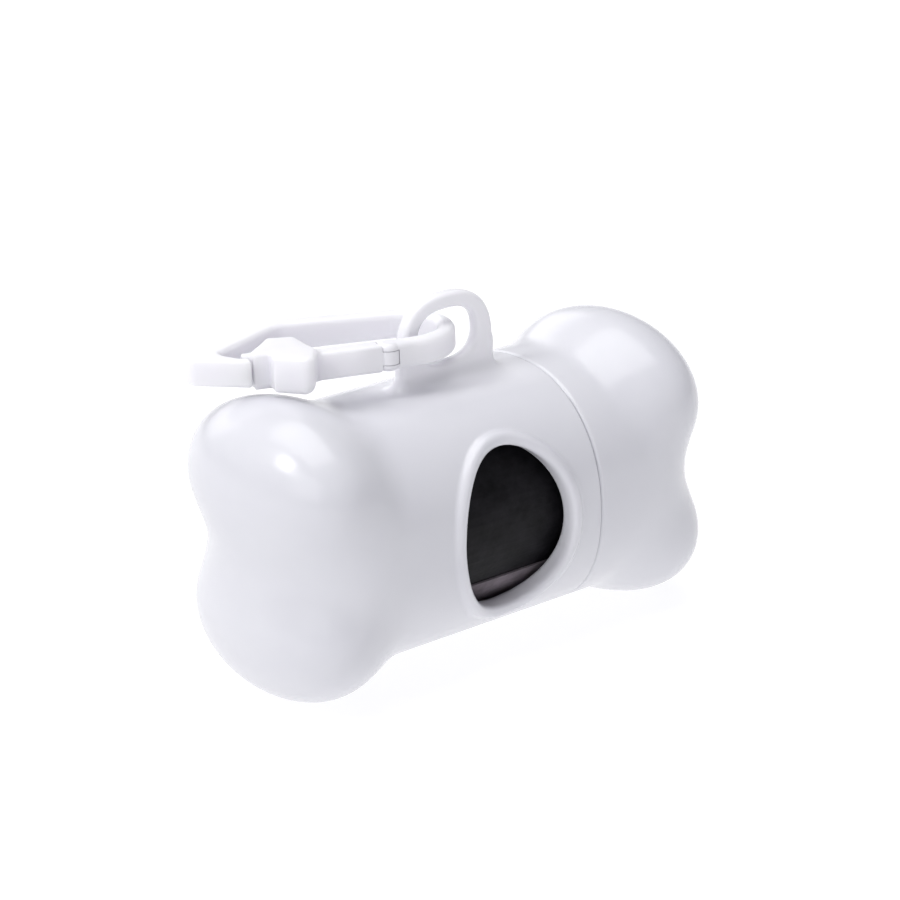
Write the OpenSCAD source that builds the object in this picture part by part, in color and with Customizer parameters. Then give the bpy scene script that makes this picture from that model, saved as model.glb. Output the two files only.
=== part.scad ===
// Bone-shaped dispenser for rolls of dog waste bags, with a hook clip.
// Millimetres. X runs along the bone, the dispensing port faces -Y, Z is up.
// The origin is on the table, below the middle of the bone.

/* [Bone body] */
// Radius of the straight middle of the bone
core_r = 19; // [18.5:0.1:20]
// Roundness of the middle's section: 2 is a true circle, more is fuller
core_round = 2.2; // [2:0.05:2.4]
// Half the length of the straight middle, up to its end faces
core_half = 32.8; // [31:0.1:34]
// Rounding of the middle's end faces
core_edge = 8.4; // [6:0.2:10]
// Distance of the lobes' centres from the bone's middle, along X
lobe_x = 30.3; // [29:0.1:31.5]
// Height of the lobes' centres above and below the axis
lobe_z = 10.2; // [9:0.1:11.5]
// Half the length of a lobe
lobe_rx = 10.25; // [9.5:0.05:11]
// Half the depth of a lobe
lobe_ry = 18.3; // [17.5:0.1:19]
// Half the height of a lobe
lobe_rz = 12.1; // [11.5:0.1:12.8]
// Softness of the blend between a lobe and the middle
blend_core = 4.6; // [3:0.1:6]
// Softness of the blend between the two lobes of one end
blend_lobes = 8.7; // [6:0.1:10]
// Thickness of the middle's wall, round the chamber for the roll
core_wall = 2.3; // [2.2:0.05:2.4]
// Thickness of the hollow lobes' walls
lobe_wall = 2; // [1.6:0.1:2.2]
// Depth of the flat foot cut under each lower lobe
foot_cut = 0.4; // [0.3:0.05:0.8]

/* [Cap joint] */
// Place of the seam between body and cap
seam_x = 13.1; // [13:0.1:14.5]
// Width of the seam's groove
seam_gap = 0.3; // [0.2:0.05:0.5]
// Thickness of the collar that joins cap and body
collar_wall = 0.9; // [0.8:0.05:1]
// Length of the collar inside the body
collar_reach = 4.4; // [3.6:0.1:4.6]
// Length of the collar inside the cap
collar_seat = 5; // [4:0.5:6]
// Radial clearance of the collar in the body
collar_slip = 0.3; // [0.25:0.05:0.35]
// Radial clearance of the collar in the cap
collar_turn = 0.05; // [0.03:0.01:0.1]
// Height of the snap bead on the collar
snap_h = 0.2; // [0.1:0.05:0.2]
// Width of the snap bead
snap_w = 1.2; // [0.8:0.1:1.6]

/* [Dispensing port] */
// Place of the port's centre along X
port_x = -2.3; // [-3.2:0.1:-2]
// Height of the port's centre above the axis
port_z = 0.3; // [-1:0.1:1]
// Half the port's width
port_rx = 9.8; // [9:0.1:10]
// Half the port's height
port_rz = 12.2; // [11:0.1:13]
// Radius of the raised bead round the port
bead_r = 1.15; // [0.9:0.05:1.3]
// Part of the bead's radius that is sunk into the body
bead_sink = 0.35; // [0.3:0.05:0.6]

/* [Lug] */
// Place of the lug's middle along X
lug_x = -0.4; // [-0.6:0.1:-0.2]
// Height of the arch's centre above the axis
lug_z = 23.6; // [23.4:0.1:24]
// Half the width of the lug, and the arch's height above its centre
lug_r = 8.4; // [8.2:0.1:8.8]
// Roundness of the lug and its hole: 2 is a true ellipse, more is fuller
lug_round = 2.5; // [2.3:0.1:2.7]
// Half the width of the lug's hole
hole_rx = 5.3; // [5.2:0.1:5.8]
// Half the height of the lug's hole
hole_rz = 4; // [3.6:0.1:4.2]
// Height of the hole's centre above the clip's bar
hole_lift = 0.2; // [0:0.1:0.4]
// Thickness of the lug's plate
lug_t = 2.4; // [2:0.1:2.4]
// Spread of the lug's foot to the left
lug_foot = 0.5; // [0:0.1:1]

/* [Clip] */
// Turn of the clip about Z, from straight along the bone
clip_yaw = 20; // [17:0.5:22]
// Thickness of the clip frame
clip_t = 4.2; // [3.8:0.1:4.4]
// Width of the bar that passes through the lug
bar_w = 2.6; // [2.4:0.1:2.8]
// Rounding of the bar's section
bar_edge = 1.1; // [0.8:0.1:1.2]
// Outer radius of the clip's end in the lug
loop_r = 7.9; // [7.8:0.1:8.1]
// Offset of the clip's end from its middle line, away from the gate
loop_off = 1.1; // [0.9:0.1:1.2]
// Reach of the clip's end beyond the lug's middle
loop_reach = 1.4; // [1.2:0.1:1.6]
// Distance of the gate's outer face from the clip's middle line
near_b = 7.3; // [7.2:0.1:7.5]
// Length from the lug's middle to the clip's tip
tip_len = 40.8; // [40:0.1:41.2]
// Width of the far arm
arm_w = 3.1; // [2.8:0.1:3.4]
// Gap at rest between touching pieces
rest_gap = 0.3; // [0.25:0.05:0.35]

/* [Gate] */
// Distance of the hinge pin from the lug's middle
hinge_a = 10.6; // [10.2:0.1:11.5]
// Radius of the hinge pin
pin_r = 0.75; // [0.6:0.05:0.8]
// Radial clearance of the pin in the gate
pin_slip = 0.05; // [0.03:0.01:0.1]
// Radius of the hinge eye
eye_r = 1.65; // [1.6:0.05:1.8]
// Thickness of each cheek of the hinge fork
cheek_t = 1; // [0.9:0.05:1]
// Thickness of the tongue's floor under the spring
tongue_t = 0.9; // [0.7:0.05:0.9]
// Gap between the layers of the hinge
layer_gap = 0.1; // [0.08:0.01:0.12]
// Thickness of the gate's arm
gate_t = 4.2; // [3.8:0.1:4.4]
// Start of the thumb block
thumb_a = 22.3; // [21.6:0.1:22.8]
// Length of the thumb block
thumb_len = 8.2; // [7.6:0.1:8.4]
// Height of the thumb block
thumb_h = 5.6; // [5.2:0.1:5.8]
// Reach of the thumb block beyond the gate's arm
thumb_out = 3.9; // [3:0.1:4.2]
// Reach of the thumb block inside the gate's arm
thumb_in = 4.6; // [3.6:0.1:4.6]
// Radius of the spring's wire
wire_r = 0.15; // [0.12:0.01:0.16]

/* [Roll of bags] */
// Radial play of the roll in the chamber
roll_play = 1; // [0.7:0.1:1.6]
// Thickness that the first bag adds to the roll
first_bag_t = 0.4; // [0.3:0.05:0.4]
// Length of the roll
roll_len = 53.5; // [52:0.5:54]
// Radius of the core's hole
core_hole_r = 6; // [5:0.1:6.5]
// Thickness of the roll's card core
card_t = 0.9; // [0.7:0.1:1.2]
// Angle of the first bag's edge, below the front
edge_angle = 28; // [15:1:35]

/* [Hidden] */
plastic = "white";
axis_z = lobe_z + lobe_rz - foot_cut;
ring_sides = 64;
dome_rings = 16;
dome_x = 22;
plain_x = 13;
blend_rings = 3;
cut_over = 1;
cut_deep = 20;
reach_max = 50;
halvings = 18;
chamber_r = core_r - core_wall;
collar_r = chamber_r + collar_wall;
socket_r = collar_r + collar_slip;
cap_bore_r = collar_r + collar_turn;
collar_x0 = seam_x - collar_reach;
collar_x1 = seam_x + collar_seat;
snap_x = seam_x - collar_reach / 2;
cavity_x = dome_x - 2;
port_sides = 48;
bead_sides = 8;
port_deep = chamber_r / 2;
lug_low = (chamber_r + core_r) / 2;
clip_mid = lobe_z + lobe_rz + rest_gap + thumb_h / 2;
outline_sides = 72;
far_b = loop_r + loop_off;
loop_a = loop_r - loop_reach;
arm_b = near_b - bar_w / 2;
loop_mid = loop_r - bar_w / 2;
neck_run = norm([hinge_a - loop_a, arm_b + loop_off]);
neck_turn = atan2(arm_b + loop_off, hinge_a - loop_a) + acos(loop_mid / neck_run);
neck_len = sqrt(pow(neck_run, 2) - pow(loop_mid, 2));
nose_a = thumb_a + thumb_len + rest_gap;
nose_b = near_b - bar_w;
nose_drop = 0.6;
nose_r = 0.6;
bend_a = 24.2;
bend_b = 1.9;
bend_r = 6;
bend_in_a = 23.4;
bend_in_r = 4;
tip_b = 1.5;
root_step = 0.05;
tip_r = 1.8;
tip_w = 6.2;
hollow_r = 1.4;
lap_len = 0.8;
lap_w = 1.6;
lap_r = 0.4;
heel_a = thumb_a + 0.6;
heel_drop = 0.8;
thumb_r = 0.8;
toe_a = thumb_a + thumb_len;
toe_run = 3.6;
toe_r = 0.5;
step_in = 1.1;
step_w = 2.4;
brow_up = 1;
brow_a = thumb_a + 1.6;
brow_r = 1.4;
front_a = thumb_a + 0.4;
front_drop = 0.7;
foot_a = thumb_a - 0.9;
foot_drop = 0.1;
chin_a = [thumb_a - 2, thumb_a - 0.2, thumb_a + 1.8];
chin_up = [0.4, 0.2];
chin_r = 1;
corner_sides = 8;
fork_cut = eye_r + layer_gap;
slot_t = clip_t - 2 * cheek_t;
tongue_z = -slot_t / 2 + layer_gap;
tongue_a = hinge_a + 2 * fork_cut;
spring_z = tongue_z + tongue_t + layer_gap;
spring_turns = 3;
coil_r = pin_r + 0.15 + wire_r;
coil_pitch = 1.8 * wire_r;
spring_room = coil_r + 2 * wire_r;
leg_r = 0.8 * wire_r;
leg_len = coil_r;
core_out = core_hole_r + card_t;
roll_slip = 0.05;
roll_r = chamber_r - roll_play - first_bag_t;
roll_drop = roll_play - rest_gap;
wrap_sides = 72;
wrap_turn = 358;
wrap_thin = 0.4;

// ---- The bone's smooth surface, as a distance-like function ----

// Smallest of two distances, with a soft changeover k wide
function soft_min(a, b, k) =
    let (h = min(max(0.5 + 0.5 * (b - a) / k, 0), 1))
    b * (1 - h) + a * h - k * h * (1 - h);

function across(p) =
    pow(pow(abs(p.y), core_round) + pow(abs(p.z), core_round), 1 / core_round);

function middle(p) =
    let (dx = abs(p.x) - core_half + core_edge, dr = across(p) - core_r + core_edge)
    min(max(dx, dr), 0) + norm([max(dx, 0), max(dr, 0)]) - core_edge;

function lobe(p, side) =
    let (
        q = [abs(p.x) - lobe_x, p.y, p.z - side * lobe_z],
        near = norm([q.x / lobe_rx, q.y / lobe_ry, q.z / lobe_rz]),
        slope = norm([q.x / pow(lobe_rx, 2), q.y / pow(lobe_ry, 2), q.z / pow(lobe_rz, 2)])
    )
    near * (near - 1) / max(slope, 0.0001);

function bone(p) =
    soft_min(middle(p), soft_min(lobe(p, 1), lobe(p, -1), blend_lobes), blend_core);

// Distance from point o along direction d to the surface that lies level outside the bone
function reach(o, d, level, lo = 0, hi = reach_max, left = halvings) =
    let (mid = (lo + hi) / 2)
    left == 0 ? mid
    : bone(o + mid * d) < level ? reach(o, d, level, mid, hi, left - 1)
    : reach(o, d, level, lo, mid, left - 1);

// A ring of surface points seen from [x, 0, 0], at an angle from the axis
function ring(x, side, angle, level) = [
    for (i = [0 : ring_sides - 1])
    let (
        turn = 360 * i / ring_sides,
        d = [side * cos(angle), sin(angle) * cos(turn), sin(angle) * sin(turn)]
    )
    [x, 0, 0] + reach([x, 0, 0], d, level) * d
];

// Rings from the flat end at x0, past the plain middle, over one end of the bone
function end_rings(x0, xs, side, level) = concat(
    [ring(x0, side, 90, level)],
    [for (x = xs) ring(side * x, side, 90, level)],
    [for (k = [0 : dome_rings - 1]) ring(side * dome_x, side, 90 * (1 - k / dome_rings), level)]
);

// Closed solid: a flat face at the first ring, and a point at the end of the bone
module bone_end(x0, xs, side, level) {
    rings = end_rings(x0, xs, side, level);
    count = len(rings);
    tip = reach([side * dome_x, 0, 0], [side, 0, 0], level);
    points = concat(
        [for (r = rings) for (p = r) p],
        [[x0, 0, 0], [side * (dome_x + tip), 0, 0]]
    );
    first = count * ring_sides;
    faces = [
        for (i = [0 : ring_sides - 1])
        let (j = (i + 1) % ring_sides)
        each concat(
            [[first, j, i]],
            [
                for (k = [0 : count - 2])
                let (a = k * ring_sides, b = a + ring_sides)
                each [[a + i, a + j, b + j], [a + i, b + j, b + i]]
            ],
            [[first - ring_sides + i, first - ring_sides + j, first + 1]]
        )
    ];
    polyhedron(points, side > 0 ? [for (f = faces) [f[2], f[1], f[0]]] : faces, convexity = 6);
}

blend_xs = [for (k = [0 : blend_rings - 1]) plain_x + 3 + (dome_x - plain_x - 3) * k / blend_rings];

// A cylinder along X from x0 to x1
module along_x(x0, x1, r, sides = 96) {
    translate([x0, 0, 0])
        rotate([0, 90, 0])
            cylinder(h = x1 - x0, r = r, $fn = sides);
}

// Flat feet: everything below the table is cut away
module below_table() {
    translate([-2 * core_half, -2 * core_r, -cut_deep - axis_z])
        cube([4 * core_half, 4 * core_r, cut_deep]);
}

// ---- Port ----

function port_point(turn) =
    let (
        x = port_x + (port_rx + bead_r * 0.8) * cos(turn),
        z = port_z + (port_rz + bead_r * 0.8) * sin(turn)
    )
    [x, -reach([x, 0, z], [0, -1, 0], -bead_sink), z];

module port_bead() {
    points = [
        for (i = [0 : port_sides - 1])
        let (
            turn = 360 * i / port_sides,
            p = port_point(turn),
            way = port_point(turn + 1) - port_point(turn - 1),
            along = way / norm(way),
            up = [0, p.y, p.z] / norm([0, p.y, p.z]),
            side = cross(along, up),
            out = cross(side, along)
        )
        for (k = [0 : bead_sides - 1])
        let (a = 360 * (k + 0.5) / bead_sides)
        p + bead_r * (cos(a) * side + sin(a) * out)
    ];
    faces = [
        for (i = [0 : port_sides - 1])
        for (k = [0 : bead_sides - 1])
        let (
            a = i * bead_sides,
            b = ((i + 1) % port_sides) * bead_sides,
            n = (k + 1) % bead_sides
        )
        each [[a + k, a + n, b + n], [a + k, b + n, b + k]]
    ];
    polyhedron(points, faces, convexity = 6);
}

module port_hole() {
    translate([port_x, -port_deep, port_z])
        rotate([90, 0, 0])
            linear_extrude(height = core_r)
                polygon([
                    for (i = [0 : port_sides - 1])
                    [port_rx * cos(360 * i / port_sides), port_rz * sin(360 * i / port_sides)]
                ]);
}

// ---- Lug ----

// Full oval, rx by rz: both numbers are half a side
module full_oval(rx, rz) {
    polygon([
        for (i = [0 : outline_sides - 1])
        let (c = cos(360 * i / outline_sides), s = sin(360 * i / outline_sides))
        [
            rx * sign(c) * pow(abs(c), 2 / lug_round),
            rz * sign(s) * pow(abs(s), 2 / lug_round)
        ]
    ]);
}

module lug_outline() {
    full_oval(lug_r, lug_r);
    polygon([
        [-lug_r - lug_foot, lug_low - lug_z],
        [lug_r, lug_low - lug_z],
        [lug_r, 0],
        [-lug_r, 0]
    ]);
}

module lug_hole() {
    translate([0, clip_mid + hole_lift - lug_z])
        full_oval(hole_rx, hole_rz);
}

module lug() {
    translate([lug_x, lug_t / 2, lug_z])
        rotate([90, 0, 0])
            linear_extrude(height = lug_t)
                difference() {
                    lug_outline();
                    lug_hole();
                }
}

// ---- Body and cap ----

module body_shell() {
    color(plastic)
        translate([0, 0, axis_z])
            difference() {
                union() {
                    bone_end(seam_x, concat([-plain_x], blend_xs), -1, 0);
                    port_bead();
                    lug();
                }
                bone_end(-cavity_x, [], -1, -lobe_wall);
                along_x(-cavity_x - cut_over, seam_x + cut_over, chamber_r);
                along_x(collar_x0, seam_x + cut_over, socket_r);
                port_hole();
                below_table();
            }
}

module cap_shell() {
    color(plastic)
        translate([0, 0, axis_z])
            difference() {
                bone_end(seam_x + seam_gap, blend_xs, 1, 0);
                bone_end(cavity_x, [], 1, -lobe_wall);
                along_x(seam_x, cavity_x + cut_over, chamber_r);
                along_x(seam_x, collar_x1, cap_bore_r);
                below_table();
            }
}

module cap_collar() {
    color(plastic)
        translate([0, 0, axis_z])
            rotate([0, 90, 0])
                rotate_extrude($fn = 96)
                    polygon([
                        [chamber_r, collar_x0 + rest_gap],
                        [collar_r, collar_x0 + rest_gap],
                        [collar_r, snap_x - snap_w / 2],
                        [collar_r + snap_h, snap_x],
                        [collar_r, snap_x + snap_w / 2],
                        [collar_r, collar_x1 - layer_gap],
                        [chamber_r, collar_x1 - layer_gap]
                    ]);
}

// ---- Roll ----

module at_roll() {
    translate([-roll_len / 2, 0, axis_z - roll_drop])
        rotate([90, 0, 90])
            children();
}

module roll_core() {
    color("burlywood")
        at_roll()
            difference() {
                cylinder(h = roll_len, r = core_out, $fn = 64);
                translate([0, 0, -cut_over])
                    cylinder(h = roll_len + 2 * cut_over, r = core_hole_r, $fn = 64);
            }
}

module bag_roll() {
    color("black")
        at_roll()
            difference() {
                cylinder(h = roll_len, r = roll_r, $fn = 96);
                translate([0, 0, -cut_over])
                    cylinder(h = roll_len + 2 * cut_over, r = core_out + roll_slip, $fn = 64);
            }
}

// The first bag: one turn of film that ends in a straight edge at the port
function wrap_point(turn, r) = r * [cos(turn), sin(turn)];

module leading_bag() {
    start = 180 + edge_angle;
    inner_r = roll_r + roll_slip;
    color("dimgray")
        at_roll()
            linear_extrude(height = roll_len)
                polygon(concat(
                    [
                        for (i = [0 : wrap_sides])
                        wrap_point(start + wrap_turn * i / wrap_sides, inner_r)
                    ],
                    [
                        for (i = [wrap_sides : -1 : 0])
                        let (film = (first_bag_t - roll_slip) * (1 - wrap_thin * i / wrap_sides))
                        wrap_point(start + wrap_turn * i / wrap_sides, inner_r + film)
                    ]
                ));
}

// ---- Clip ----

// Places in the clip's own frame: a runs from the lug to the tip, b towards the gate
module at_clip(a = 0, b = 0) {
    translate([0, 0, axis_z + clip_mid])
        rotate([0, 0, 180 - clip_yaw])
            translate([a, b, 0])
                children();
}

// Outline with rounded corners: each point is [a, b, corner radius]
function round_corner(p, c, n) =
    let (
        to_p = [p[0] - c[0], p[1] - c[1]],
        to_n = [n[0] - c[0], n[1] - c[1]],
        up = to_p / norm(to_p),
        un = to_n / norm(to_n),
        half = acos(up * un) / 2,
        mid = (up + un) / norm(up + un),
        centre = [c[0], c[1]] + mid * c[2] / sin(half),
        from = [c[0], c[1]] + up * c[2] / tan(half) - centre,
        to = [c[0], c[1]] + un * c[2] / tan(half) - centre,
        a0 = atan2(from[1], from[0]),
        sweep = atan2(from[0] * to[1] - from[1] * to[0], from * to)
    )
    c[2] == 0 ? [[c[0], c[1]]]
    : [
        for (i = [0 : corner_sides])
        centre + c[2] * [cos(a0 + sweep * i / corner_sides), sin(a0 + sweep * i / corner_sides)]
    ];

function rounded(pts) = [
    for (i = [0 : len(pts) - 1])
    each round_corner(pts[(i + len(pts) - 1) % len(pts)], pts[i], pts[(i + 1) % len(pts)])
];

// Section of the bar: a rectangle w by h with round corners
module bar_section(w, h, edge) {
    square([w - 2 * edge, h], center = true);
    square([w, h - 2 * edge], center = true);
    for (x = [-1, 1], y = [-1, 1])
        translate([x * (w / 2 - edge), y * (h / 2 - edge)])
            circle(r = edge, $fn = 32);
}

module slab(h, pts) {
    translate([0, 0, -h / 2])
        linear_extrude(height = h)
            polygon(rounded(pts));
}

// The hook starts a hair inside the ring's section, so that the two never share an edge
hook_outline = [
    [loop_a, -far_b + root_step, 0],
    [bend_a, -far_b - bend_b, bend_r],
    [tip_len, tip_b, tip_r],
    [nose_a, near_b - nose_drop, 0],
    [nose_a, nose_b, 0],
    [nose_a + lap_len + rest_gap, nose_b, nose_r],
    [tip_len - tip_w, tip_b, hollow_r],
    [bend_in_a, -far_b - bend_b + arm_w, bend_in_r],
    [loop_a, -far_b + bar_w - root_step, 0]
];

module hinge_eye(r, h) {
    translate([hinge_a, arm_b, 0])
        cylinder(h = h, r = r, center = true, $fn = 48);
}

module clip_frame() {
    color(plastic)
        at_clip()
            difference() {
                union() {
                    translate([loop_a, -loop_off, 0])
                        rotate([0, 0, neck_turn])
                            rotate_extrude(angle = 270 - neck_turn, $fn = 72)
                                translate([loop_mid, 0])
                                    bar_section(bar_w, clip_t, bar_edge);
                    slab(clip_t, hook_outline);
                    translate([loop_a, -loop_off, 0])
                        rotate([0, 0, neck_turn])
                            translate([loop_mid, 0, 0])
                                rotate([90, 0, 0])
                                    linear_extrude(height = neck_len)
                                        bar_section(bar_w, clip_t, bar_edge);
                    hinge_eye(eye_r, clip_t);
                }
                hinge_eye(fork_cut, slot_t);
                translate([hinge_a, arm_b - fork_cut, -slot_t / 2])
                    cube([fork_cut, 2 * fork_cut, slot_t]);
                hinge_eye(pin_r, clip_t + 2 * cut_over);
            }
}

// The thumb block slopes away towards the tip, with a step down to the hook's nose
thumb_outline = [
    [heel_a, nose_b - thumb_in, thumb_r],
    [toe_a - toe_run, nose_b - thumb_in - heel_drop, thumb_r],
    [toe_a, nose_b, toe_r],
    [toe_a, near_b - step_in, 0],
    [toe_a - step_w, near_b - step_in, 0],
    [toe_a - step_w, near_b + brow_up, lap_r],
    [brow_a, near_b + thumb_out, brow_r],
    [front_a, near_b + thumb_out - front_drop, thumb_r],
    [foot_a, near_b - foot_drop, 0]
];

// The block seen from outside the clip: its lower corner towards the hinge slopes away
thumb_side = [
    [chin_a[0], thumb_h / 2, 0],
    [chin_a[0], -gate_t / 2 + chin_up[0], 0],
    [chin_a[1], -gate_t / 2 + chin_up[1], chin_r],
    [chin_a[2], -thumb_h / 2, chin_r],
    [toe_a + cut_over, -thumb_h / 2, 0],
    [toe_a + cut_over, thumb_h / 2, 0]
];

// The tongue fills the fork: its floor carries the spring and its outer half hides it
module tongue() {
    translate([hinge_a, arm_b, tongue_z]) {
        cylinder(h = tongue_t, r = eye_r, $fn = 48);
        translate([0, -bar_w / 2, 0])
            cube([tongue_a - hinge_a, bar_w, tongue_t]);
        difference() {
            union() {
                cylinder(h = slot_t - 2 * layer_gap, r = eye_r, $fn = 48);
                cube([tongue_a - hinge_a, bar_w / 2, slot_t - 2 * layer_gap]);
            }
            cylinder(h = slot_t, r = spring_room, $fn = 48);
            translate([-fork_cut, -fork_cut, 0])
                cube([2 * fork_cut, fork_cut, slot_t]);
        }
    }
}

module clip_gate() {
    color(plastic)
        at_clip()
            difference() {
                union() {
                    tongue();
                    difference() {
                        slab(gate_t, [
                            [hinge_a, arm_b - bar_w / 2, 0],
                            [brow_a, arm_b - bar_w / 2, 0],
                            [brow_a, near_b, 0],
                            [hinge_a, near_b, 0]
                        ]);
                        hinge_eye(fork_cut, gate_t + 2 * cut_over);
                    }
                    intersection() {
                        slab(thumb_h, thumb_outline);
                        translate([0, near_b + thumb_out + cut_over, 0])
                            rotate([90, 0, 0])
                                linear_extrude(height = 2 * near_b + thumb_out + thumb_in)
                                    polygon(rounded(thumb_side));
                    }
                    slab(gate_t, [
                        [brow_a, nose_b - rest_gap - lap_w, 0],
                        [nose_a + lap_len, nose_b - rest_gap - lap_w, lap_r],
                        [nose_a + lap_len, nose_b - rest_gap, lap_r],
                        [brow_a, nose_b - rest_gap, 0]
                    ]);
                }
                hinge_eye(pin_r + pin_slip, clip_t + 2 * cut_over);
            }
}

module gate_pin() {
    color("silver")
        at_clip()
            hinge_eye(pin_r, clip_t);
}

// Coil round the pin, one leg towards the frame's arm and one towards the gate
module gate_spring() {
    color("gray")
        at_clip(hinge_a, arm_b)
            translate([0, 0, spring_z]) {
                rotate_extrude($fn = 48)
                    polygon(concat(
                        [
                            for (k = [0 : 2 * spring_turns])
                            [coil_r + wire_r * (k % 2 == 0 ? 0.5 : 1), k * coil_pitch / 2]
                        ],
                        [[coil_r - wire_r, spring_turns * coil_pitch], [coil_r - wire_r, 0]]
                    ));
                translate([0, -coil_r, coil_pitch / 2])
                    rotate([0, -90, 0])
                        cylinder(h = leg_len, r = leg_r, $fn = 16);
                translate([0, -coil_r, (spring_turns - 0.5) * coil_pitch])
                    rotate([0, 90, 0])
                        cylinder(h = leg_len, r = leg_r, $fn = 16);
            }
}

body_shell();
cap_shell();
cap_collar();
roll_core();
bag_roll();
leading_bag();
clip_frame();
clip_gate();
gate_pin();
gate_spring();
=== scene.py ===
"""Looks of the bone-shaped bag dispenser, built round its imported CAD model.

Shapes are worked out in millimetres round the bone's axis and placed in metres.
Moulded pieces are surfaces of distance-like functions, so their edges and joins are
rounded as on a moulding.
"""
import bpy
import math
import numpy as np
from mathutils import Matrix, Vector


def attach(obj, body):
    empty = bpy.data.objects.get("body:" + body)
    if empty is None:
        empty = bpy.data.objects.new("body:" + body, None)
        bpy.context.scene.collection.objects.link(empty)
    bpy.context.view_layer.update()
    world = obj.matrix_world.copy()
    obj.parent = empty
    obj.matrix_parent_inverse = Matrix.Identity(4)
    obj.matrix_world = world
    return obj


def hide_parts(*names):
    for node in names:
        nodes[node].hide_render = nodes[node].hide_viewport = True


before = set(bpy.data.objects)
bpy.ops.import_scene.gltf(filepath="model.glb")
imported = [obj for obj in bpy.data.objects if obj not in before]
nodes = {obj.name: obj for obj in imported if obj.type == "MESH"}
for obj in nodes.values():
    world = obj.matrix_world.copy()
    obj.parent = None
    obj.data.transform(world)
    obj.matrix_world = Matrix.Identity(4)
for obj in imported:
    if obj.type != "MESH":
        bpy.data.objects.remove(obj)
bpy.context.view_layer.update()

MM = 0.001

# ---- Sizes, as in the CAD model ----

# The bone: its straight middle, its four lobes and the blends between them
CORE_R, CORE_ROUND, CORE_HALF, CORE_EDGE = 19.0, 2.2, 32.8, 8.4
LOBE_X, LOBE_Z = 30.3, 10.2
LOBE_R = (10.25, 18.3, 12.1)
BLEND_CORE, BLEND_LOBES = 4.6, 8.7
LOBE_WALL, FOOT_CUT = 2.0, 0.4
AXIS_Z = LOBE_Z + LOBE_R[2] - FOOT_CUT

# The seam, the collar in it, the roll's chamber and where the lobes' hollow begins
SEAM_X, SEAM_GAP = 13.1, 0.3
CHAMBER_R, COLLAR_WALL = 16.7, 0.9
COLLAR_R = CHAMBER_R + COLLAR_WALL
COLLAR_REACH, COLLAR_SEAT = 4.4, 5.0
COLLAR_SLIP, COLLAR_TURN = 0.3, 0.05
SOCKET_R, CAP_BORE_R = COLLAR_R + COLLAR_SLIP, COLLAR_R + COLLAR_TURN
CAVITY_X = 20.0

# The dispensing port and the bead round it
PORT_X, PORT_Z, PORT_RX, PORT_RZ = -2.3, 0.3, 9.8, 12.2
BEAD_R, BEAD_SINK, BEAD_OUT = 1.15, 0.35, 0.8

# The lug and its hole
LUG_X, LUG_Z, LUG_R, LUG_ROUND, LUG_T, LUG_FOOT = -0.4, 23.6, 8.4, 2.5, 2.4, 0.5
LUG_ROOT = CHAMBER_R + 0.9
HOLE_RX, HOLE_RZ, HOLE_LIFT = 5.3, 4.0, 0.2

# The clip: A runs from the swing axis to the tip, B from the far arm to the gate's arm
REST_GAP = 0.3
THUMB_H = 5.6
CLIP_MID = LOBE_Z + LOBE_R[2] + REST_GAP + THUMB_H / 2
CLIP_YAW, CLIP_T, BAR_W = 20.0, 4.2, 2.6
LOOP_R, LOOP_OFF, LOOP_REACH, TIP_LEN, ARM_W = 7.9, 1.1, 1.4, 40.8, 3.1
NEAR_B, FAR_B, LOOP_A = 7.3, LOOP_R + LOOP_OFF, LOOP_R - LOOP_REACH
LOOP_MID = LOOP_R - BAR_W / 2
ARM_B = NEAR_B - BAR_W / 2
HINGE_A, PIN_R, PIN_TURN, EYE_R, GATE_T = 10.6, 0.75, 0.05, 1.65, 4.2
CHEEK_T, TONGUE_T, LAYER_GAP = 1.0, 0.9, 0.1
THUMB_A, THUMB_LEN, THUMB_OUT, THUMB_IN = 22.3, 8.2, 3.9, 4.6
THUMB_END = THUMB_A + THUMB_LEN
NOSE_A = THUMB_END + REST_GAP
NOSE_B = NEAR_B - BAR_W
BEND_A, BEND_B, TIP_B, TIP_W = 24.2, 1.9, 1.5, 6.2
LAP_LEN, LAP_W, STEP_IN, STEP_W = 0.8, 1.6, 1.1, 2.4
FORK_CUT = EYE_R + LAYER_GAP
SLOT = CLIP_T / 2 - CHEEK_T
COIL_R, WIRE_R = PIN_R + 0.3, 0.15
SPRING_ROOM = COIL_R + 2 * WIRE_R
NECK_RUN = math.hypot(HINGE_A - LOOP_A, ARM_B + LOOP_OFF)
NECK_TURN = math.atan2(ARM_B + LOOP_OFF, HINGE_A - LOOP_A) + math.acos(LOOP_MID / NECK_RUN)

# The roll, which lies on the chamber's floor, and the first bag's free edge
ROLL_R, FILM_T = 15.3, 0.4
EDGE_ANGLE = 28.0
ROLL_DROP = CHAMBER_R - ROLL_R - FILM_T - REST_GAP

# ---- Sizes of the surfaces alone ----

# Skin and bead lie this far inside the solids, so that no blend passes the solids' box
SKIN_IN, BEAD_IN = 0.02, 0.11
# Each side of the seam and of the hinge's slots stands this much nearer to the other
SEAM_CLOSE, SLOT_CLOSE = 0.12, 0.03
# Fillets and edges of the shells
LUG_FILLET, BEAD_FILLET, ARCH_FILLET, CAVITY_FILLET = 2.2, 0.7, 0.8, 0.5
INNER_EDGE, PORT_EDGE, SEAM_EDGE, CAP_EDGE, FOOT_EDGE = 0.35, 0.7, 0.25, 0.8, 0.3
LUG_EDGE, HOLE_EDGE = 0.85, 0.4
# How far the port's cut reaches into the chamber, and the lobes' hollow into the middle
PORT_DEPTH, CAVITY_LAP = 8.0, 0.5
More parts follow.
